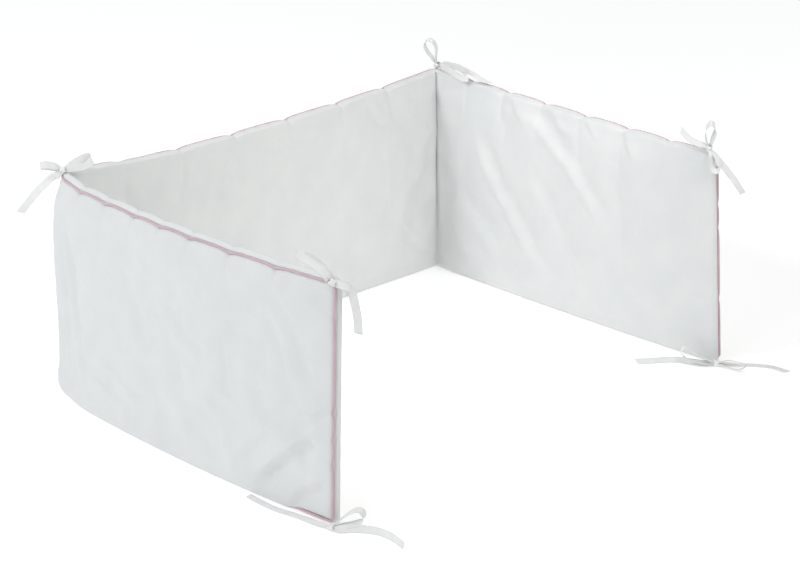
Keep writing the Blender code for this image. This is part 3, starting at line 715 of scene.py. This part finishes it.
# tie: node, how it is held, knot, direction of the knot's band, the ribbon's width in the
# knot in millimetres, then its strands. A strand has the places it passes, in millimetres to
# the right, away and up from the knot, and the direction of the ribbon's width at its start,
# middle and end. A stub is a free end that lies behind another strand.
TIES = (
    ("tie_left_fold_top", "hung", (-0.3252, 0.2968, 0.3085), (1.0, 0.0, 0.1), 5.6, (
        ("loop",
            ((-2, -1, 0), (-10, -4, 5.5), (-19, -4.5, 7.5), (-26.5, -3, 6.5), (-28.5, 0, 5.5),
             (-26.5, 3, 4), (-19, 4.5, 3), (-10, 3, 1.5), (-1.5, 1, -1.5)),
            ((0, 0, 1), (0, 0.1, 1), (0, 0, 1))),
        ("loop",
            ((2, -1, -1), (10, -4, 1.5), (19.5, -7, 4), (28.5, -7, 6.5), (35.5, -4, 10), (38, 1, 13),
             (33, 7, 15.5), (22, 9, 10.5), (10.5, 5, 4.5), (2.5, 1, -0.5)),
            ((-0.1, -0.2, 1), (-0.35, 0.3, 0.9), (-0.2, 0.35, 0.9))),
        ("tail",
            ((-2, -1, -2), (-7.5, -4, -5.5), (-15, -4, -10.5), (-23, -3, -18.5), (-32.5, -3, -27.5),
             (-43.5, -2, -41), (-50.5, -1, -49.5), (-56.5, 0, -58)),
            ((-0.5, 0.3, 0.8), (-0.7, 0.35, 0.55), (-0.75, 0, 0.66))),
        ("stub",
            ((-2, -2, -2.5), (-5.5, -6, -5.5), (-9, -8, -8.5)),
            ((-0.5, 0, 0.8), (-0.6, 0, 0.8), (-0.6, 0, 0.7))),
    )),
    ("tie_right_fold_top", "hung", (0.3805, 0.3083, 0.3047), (0.45, -0.55, 0.75), 6.0, (
        ("loop",
            ((-2, 0, 2.5), (-8, -1, 11.5), (-15, -1.5, 21.5), (-18.5, -1, 29.5), (-17, 0, 35),
             (-10.5, 1, 37), (-5, 1.5, 33.5), (-1.5, 1.5, 25), (-1.5, 1, 15), (-2, 0, 4)),
            ((0.4, 0.9, 0.1), (0.3, 0.85, 0.35), (0.4, 0.9, 0))),
        ("loop",
            ((2.5, -1.5, -0.5), (10.5, -24.5, 2.5), (19.5, -48.5, 3), (28.5, -65, 2), (35.5, -74.5, 0.5),
             (42, -78.5, 4), (40.5, -68, 8), (32.5, -50.5, 9), (18.5, -26, 6.5), (4, -3, 1.5)),
            ((0, 0.3, 1), (0.1, 0.1, 1), (0, 0.3, 1))),
        ("tail",
            ((4, -1.5, -0.5), (14, -15, 4.5), (25.5, -30, 7), (38, -46.5, 6.5), (52, -64.5, 3.5),
             (64.5, -80.5, -0.5), (73.5, -92, -1)),
            ((0.9, 0.4, 0.2), (0.9, 0.45, 0.1), (0.9, 0.45, 0))),
    )),
    ("tie_right_end_top", "hung", (0.3337, -0.2342, 0.3061), (0.35, -0.2, 0.9), 5.6, (
        ("loop",
            ((-1, 0, 3), (-5, -1, 12), (-6, -1.5, 22), (-3.5, -1, 30), (1.5, 0, 34.5), (6, 1, 31),
             (7.5, 1.5, 23.5), (5, 1, 14), (1, 0, 4)),
            ((0.3, 0.95, 0.1), (0.15, 0.75, 0.65), (-0.55, 0.75, 0.2))),
        ("tail",
            ((-2.5, -1, 3), (-10, -3, 6), (-19.5, -4, 10), (-29, -4, 16), (-39, -3, 26.5)),
            ((0.1, 0.6, 0.8), (0.2, 0.7, 0.65), (0.3, 0.75, 0.55))),
        ("loop",
            ((1, -6, -1), (1.5, -14.5, -6), (1.5, -18, -13), (2.5, -20, -20), (7.5, -21.5, -24),
             (12, -21, -19.5), (11, -17.5, -12.5), (7.5, -13.5, -5.5), (3.5, -5, -1)),
            ((0.6, 0.75, 0.2), (0.2, 0.55, 0.8), (0.5, 0.85, 0))),
        ("tail",
            ((2, -2.5, -2.5), (8, -9.5, -9.5), (16, -15, -17.5), (25, -17.5, -28), (35, -20.5, -41),
             (44.5, -20, -56)),
            ((0.7, 0.5, 0.5), (0.6, 0.6, 0.5), (0.55, 0.7, 0.4))),
    )),
    ("tie_left_end_top", "hung", (-0.3600, -0.2364, 0.2996), (0.8, 0.0, -0.5), 8.6, (
        ("tail",
            ((-2.5, 0, 2), (-8.5, -1, 11), (-16, -1, 18.5), (-28, 0, 27), (-40.5, 2, 33)),
            ((0.5, 0.3, 0.8), (0.55, 0.2, 0.8), (0.5, 0.1, 0.85))),
        ("stub",
            ((-1, 3, 1.5), (-6, 6, 10), (-14, 8, 17.5), (-23, 8, 26), (-31, 7, 30)),
            ((0.6, 0.2, 0.7), (0.6, 0.3, 0.7), (0.6, 0.3, 0.7))),
        ("loop",
            ((2.5, -1, 0), (9.5, -3, -2), (16, -3, -4.5), (20, -1, -6), (21, 1.5, -7), (16, 4, -6),
             (8, 3, -3), (2.5, 1, 0)),
            ((-0.2, 0.4, 0.9), (-0.25, 0.5, 0.8), (-0.2, 0.3, 0.9))),
        ("tail",
            ((2, 2, -1.5), (10, 6, -5.5), (17.5, 6, -9), (22.5, 4, -15), (25, 3, -23), (27.5, 2, -35),
             (29.5, 1, -48), (30, 0, -64)),
            ((-0.2, 0, 1), (0.9, 0.3, 0.3), (1, 0.1, 0))),
    )),
    ("tie_left_end_floor", "laid", (-0.3848, -0.2562, 0.0043), (0.9, -0.3, 0.0), 5.6, (
        ("loop",
            ((2.5, 0, 1.5), (10.5, 2, 8), (20.5, 3, 15.5), (30.5, 4, 20), (36.5, 3, 18.5), (38, 1, 12.5),
             (34, -1, 7.5), (23, -2, 4), (12, -2, 2), (3.5, -1, 0.5)),
            ((0, 1, -0.25), (0.35, 0.7, 0.4), (0, 0.85, 0.5))),
        ("tail",
            ((2.5, -3.5, 0.5), (11, -7, 1), (22.5, -6, 1), (35.5, -7, 1), (49.5, -11.5, 1),
             (62.5, -19, 1), (74.5, -33.5, 1), (85, -53.5, 1)),
            ((0, 0.5, 1), (0, 0.15, 1), (0.1, 0.1, 1))),
        ("tail",
            ((-2.5, 3.5, -0.5), (-16, 15.5, -2.5), (-30.5, 29.5, -3.5), (-47.5, 43, -3.5),
             (-67.5, 58.5, -3.5), (-85, 76, -3.5), (-102.5, 98.5, -4)),
            ((0.7, 0.6, 0.2), (0.55, 0.8, 0.02), (0.45, 0.85, 0))),
    )),
    ("tie_right_end_floor", "laid", (0.3427, -0.2529, 0.0043), (0.95, 0.1, 0.1), 5.2, (
        ("loop",
            ((-3.5, 0, 1), (-13.5, 1, 6), (-24.5, 2, 12.5), (-35.5, 3, 18.5), (-43, 4, 21),
             (-47, 4, 17.5), (-45, 2, 10.5), (-38, 0, 5.5), (-26, -2, 2.5), (-13.5, -2, 0),
             (-3.5, -1, -0.5)),
            ((0, 1, 0), (0, 1, 0), (0, 1, -0.1))),
        ("tail",
            ((-4, -1, -0.5), (-18.5, 2, -0.5), (-34.5, 9, -1), (-51, 17, -1.5), (-70.5, 15.5, -1.5),
             (-88, 12.5, -1.5), (-107, 9.5, -1.5)),
            ((0, 0.8, 0.5), (0, 0.87, 0.5), (0, 0.87, 0.5))),
        ("loop",
            ((2.5, -1, 1), (12.5, -6, 6), (24.5, -13, 8), (34, -18, 8), (38, -21, 5.5), (34.5, -22, 1.5),
             (26.5, -22, -1), (18, -15, -1), (10, -8, 0), (3, -2, 0)),
            ((0, 0.95, -0.2), (0, 0.95, -0.3), (0, 0.95, -0.2))),
        ("tail",
            ((4, 0.5, -1), (19.5, 3, -2.5), (38.5, 2.5, -3.5), (57, 0.5, -3.5), (72.5, -4, -3.5),
             (84, -13, -3.5), (93.5, -22.5, -3.5)),
            ((0, 1, 0.1), (0, 1, 0), (0, 1, 0))),
    )),
)


def to_world(steps):
    """Turns steps to the right, away and up into the part's own directions."""
    steps = np.asarray(steps)
    return steps[:, :1] * RIGHT + steps[:, 1:2] * AWAY + steps[:, 2:] * UPWARD


def soft_path(stops, step):
    """Even points along a soft curve that passes through the stops."""
    stops = np.concatenate([[2 * stops[0] - stops[1]], stops, [2 * stops[-1] - stops[-2]]])
    share = np.linspace(0.0, 1.0, 13)[:-1, None]
    runs = []
    for before, begin, end, after in zip(stops, stops[1:], stops[2:], stops[3:]):
        runs.append(0.5 * (2 * begin + (end - before) * share
                           + (2 * before - 5 * begin + 4 * end - after) * share ** 2
                           + (3 * begin - before - 3 * end + after) * share ** 3))
    fine_path = np.concatenate(runs + [stops[-2:-1]])
    travel = running_total(np.linalg.norm(np.diff(fine_path, axis=0), axis=1))
    even = np.linspace(0.0, travel[-1], max(int(travel[-1] / step), 6) + 1)
    return np.column_stack([np.interp(even, travel, axis) for axis in fine_path.T]), even


def unit(vectors):
    return vectors / np.maximum(np.linalg.norm(vectors, axis=1), 1e-9)[:, None]


def add_strand(bm, layer, knot, gathered, kind, stops, widths, seed):
    """One ribbon strand, pleated where it enters the knot, as a sheet that is thickened later."""
    path, travel = soft_path(to_world(stops) * MILLIMETRE, STRAND_STEP)
    path = path + knot
    length = travel[-1]
    along = unit(np.gradient(path, axis=0))
    turning = np.column_stack([np.interp(travel / length, (0.0, 0.5, 1.0), axis)
                               for axis in to_world(widths).T])
    across = unit(turning - along * np.sum(along * turning, axis=1)[:, None])
    faced = np.cross(along, across)
    from_knot = np.minimum(travel, length - travel) if kind == "loop" else travel
    spread = smooth(from_knot / GATHER_LENGTH)
    half = 0.5 * (gathered + (RIBBON_WIDTH - gathered) * spread)
    wander = np.array([noise.noise(Vector((t * 55.0, seed * 3.7, 0.0))) for t in travel])
    grid = bmesh.ops.create_grid(bm, x_segments=len(path) - 1, y_segments=RIBBON_COLUMNS, size=0.5)["verts"]
    shares = {vertex: (round((vertex.co.x + 0.5) * (len(path) - 1)), 2.0 * vertex.co.y) for vertex in grid}
    for face in {face for vertex in grid for face in vertex.link_faces}:
        face.smooth = True
        for loop in face.loops:
            row, side = shares[loop.vert]
            loop[layer].uv = (travel[row] / RIBBON_WIDTH, 0.5 + 0.5 * side)
    for vertex, (row, side) in shares.items():
        pleat = PLEAT_DEPTH * (1.0 - spread[row]) * math.cos(math.pi * side * 2.5)
        cup = CUP_DEPTH * spread[row] * wander[row] * (1.0 - 2.0 * side * side)
        slant = 0.0
        if kind != "loop":
            slant = END_SLANT * side * half[row] * smooth((travel[row] / length - 0.7) / 0.3)
        place = path[row] + across[row] * side * half[row] + faced[row] * (pleat + cup) + along[row] * slant
        vertex.co = (place[0], place[1], max(place[2], LOWEST))
    return length


def add_band(bm, layer, knot, axis):
    """The turn of ribbon wrapped round the strands, drawn into small folds."""
    band = bmesh.ops.create_cone(
        bm, cap_ends=False, segments=26, radius1=1.0, radius2=1.0, depth=1.0)["verts"]
    uprights = [edge for edge in {edge for vertex in band for edge in vertex.link_edges}
                if abs(edge.verts[0].co.z - edge.verts[1].co.z) > 0.5]
    bmesh.ops.subdivide_edges(bm, edges=uprights, cuts=6, use_grid_fill=True)
    turn = Vector(to_world([axis])[0]).to_track_quat("Z", "Y")
    loose = {vertex for vertex in bm.verts if vertex.tag is False}
    for vertex in loose:
        side = 2.0 * vertex.co.z
        angle = math.atan2(vertex.co.y, vertex.co.x)
        radius = BAND_RADIUS * (1.0 - 0.20 * side ** 2 + 0.10 * math.cos(math.pi * side * 2.0 + angle))
        point = Vector((radius * 1.12 * math.cos(angle), radius * 0.92 * math.sin(angle),
                        0.5 * BAND_WIDTH * side * (1.0 + 0.12 * math.sin(2.0 * angle))))
        place = turn @ point + Vector(knot)
        vertex.co = (place.x, place.y, max(place.z, LOWEST))
    for face in {face for vertex in loose for face in vertex.link_faces}:
        face.smooth = True
        for loop in face.loops:
            loop[layer].uv = (0.5, 0.5)


ribbon = bpy.data.materials.new("white_ribbon")
ribbon.use_nodes = True
nodes, links = ribbon.node_tree.nodes, ribbon.node_tree.links
shader = nodes["Principled BSDF"]
shader.inputs["Roughness"].default_value = 0.62
shader.inputs["Specular IOR Level"].default_value = 0.3
shader.inputs["Sheen Weight"].default_value = 0.15
woven = add_node("ShaderNodeUVMap", (-1300, 0), uv_map="strip").outputs["UV"]
ribs = stretched_noise(woven, (26.0, 1.2, 1.0), 1.0, (-1100, 200))
threads = stretched_noise(woven, (3.0, 60.0, 1.0), 2.0, (-1100, -60))
solid = add_node("ShaderNodeTexCoord", (-1300, -400)).outputs["Object"]
soiled = stretched_noise(solid, (60.0, 60.0, 60.0), 3.0, (-1100, -320))
strip = add_node("ShaderNodeSeparateXYZ", (-1100, -560))
links.new(woven, strip.inputs[0])
from_middle = add_node("ShaderNodeMath", (-920, -560), operation="SUBTRACT")
links.new(strip.outputs["Y"], from_middle.inputs[0])
from_middle.inputs[1].default_value = 0.5
to_edge = add_node("ShaderNodeMath", (-760, -560), operation="ABSOLUTE")
links.new(from_middle.outputs[0], to_edge.inputs[0])
selvedge = add_node("ShaderNodeMath", (-600, -560), operation="GREATER_THAN")
links.new(to_edge.outputs[0], selvedge.inputs[0])
selvedge.inputs[1].default_value = 0.42
weave = add_node("ShaderNodeMath", (-700, 100), operation="ADD")
links.new(ribs, weave.inputs[0])
links.new(threads, weave.inputs[1])
edged = add_node("ShaderNodeMath", (-540, 100), operation="MULTIPLY_ADD")
links.new(selvedge.outputs[0], edged.inputs[0])
edged.inputs[1].default_value = 0.35
links.new(weave.outputs[0], edged.inputs[2])
colours = tones((-540, -140), (0.25, (0.750, 0.750, 0.745)), (0.8, (0.830, 0.830, 0.825)))
links.new(soiled, colours.inputs["Fac"])
links.new(colours.outputs["Color"], shader.inputs["Base Color"])
links.new(bumps((-280, -260), 0.45, 0.00025, edged.outputs[0]), shader.inputs["Normal"])

for number, (name, held, knot, axis, gathered, strands) in enumerate(TIES):
    bm = bmesh.new()
    layer = bm.loops.layers.uv.new("strip")
    total = BAND_TURN
    for order, (kind, stops, widths) in enumerate(strands):
        total += add_strand(bm, layer, np.array(knot), gathered * MILLIMETRE, kind, stops, widths,
                            10 * number + order)
    for vertex in bm.verts:
        vertex.tag = True
    add_band(bm, layer, knot, axis)
    bmesh.ops.recalc_face_normals(bm, faces=bm.faces[:])
    bmesh.ops.solidify(bm, geom=bm.faces[:], thickness=RIBBON_CLOTH)
    bmesh.ops.recalc_face_normals(bm, faces=bm.faces[:])
    for vertex in bm.verts:
        vertex.co.z = max(vertex.co.z, 0.0)
    tie_mesh = bpy.data.meshes.new(name)
    bm.to_mesh(tie_mesh)
    bm.free()
    tie_mesh.materials.append(ribbon)
    tie = place_piece(name.replace("tie_", "ribbon_"), tie_mesh)
    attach(tie, "root")
    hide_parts(name)


# ------------------------------------------------------------------ floor and light
# A wide sheet of white paper that glows a little, so that it stays as pale as the ground of a
# studio picture. A window high on the left gives most of the light, and two weak lamps lift
# the insides of the middle and the right panel. The pale sky is bluer and brighter on the left.
bm = bmesh.new()
bmesh.ops.create_grid(bm, x_segments=1, y_segments=1, size=20.0)
bmesh.ops.translate(bm, vec=(0.0, 0.0, -0.0002), verts=bm.verts[:])
floor_mesh = bpy.data.meshes.new("paper_floor")
bm.to_mesh(floor_mesh)
bm.free()
floor = place_piece("paper_floor", floor_mesh)
paper = bpy.data.materials.new("white_paper")
paper.use_nodes = True
shader = paper.node_tree.nodes["Principled BSDF"]
shader.inputs["Base Color"].default_value = (0.98, 0.98, 0.98, 1.0)
shader.inputs["Roughness"].default_value = 0.9
shader.inputs["Specular IOR Level"].default_value = 0.0
shader.inputs["Emission Color"].default_value = (1.0, 1.0, 1.0, 1.0)
shader.inputs["Emission Strength"].default_value = 0.22
floor_mesh.materials.append(paper)

bpy.context.scene.view_settings.view_transform = "Standard"
world = bpy.data.worlds.new("studio")
bpy.context.scene.world = world
world.use_nodes = True
nodes, links = world.node_tree.nodes, world.node_tree.links
sky = nodes["Background"]
sky.inputs["Strength"].default_value = 1.0
height = add_node("ShaderNodeSeparateXYZ", (-700, 0))
links.new(add_node("ShaderNodeTexCoord", (-900, 0)).outputs["Generated"], height.inputs[0])
colours = tones((-500, 0), (0.0, (0.36, 0.36, 0.35)), (1.0, (0.84, 0.84, 0.82)))
links.new(height.outputs["Z"], colours.inputs["Fac"])
sideways = add_node("ShaderNodeMapRange", (-500, -260))
sideways.inputs["To Min"].default_value = 0.08
sideways.inputs["To Max"].default_value = -0.08
links.new(height.outputs["X"], sideways.inputs["Value"])
cool = add_node("ShaderNodeVectorMath", (-300, -260), operation="MULTIPLY")
links.new(sideways.outputs["Result"], cool.inputs[0])
cool.inputs[1].default_value = (0.80, 0.98, 1.25)
total_light = add_node("ShaderNodeVectorMath", (-200, 0), operation="ADD")
links.new(colours.outputs["Color"], total_light.inputs[0])
links.new(cool.outputs["Vector"], total_light.inputs[1])
links.new(total_light.outputs["Vector"], sky.inputs["Color"])


def add_soft_light(name, place, aim, size, power, spread, colour):
    """A round soft light that shines from its place towards its aim."""
    data = bpy.data.lights.new(name, "AREA")
    data.shape = "DISK"
    data.size = size
    data.energy = power
    data.spread = math.radians(spread)
    data.color = colour
    light = place_piece(name, data)
    light.location = place
    light.rotation_euler = (Vector(aim) - Vector(place)).to_track_quat("-Z", "Y").to_euler()


add_soft_light("front_fill", (0.00, -1.20, 1.30), (0.05, 0.30, 0.22), 0.5, 1.02, 60.0, (1.0, 1.0, 0.97))
add_soft_light("right_wash", (-1.10, -0.35, 1.20), (0.36, 0.04, 0.38), 0.4, 0.18, 24.0, (1.0, 0.99, 1.0))
add_soft_light("window", (-1.90, 0.62, 1.90), (0.0, 0.0, 0.15), 0.5, 16.5, 180.0, (0.95, 0.98, 1.0))
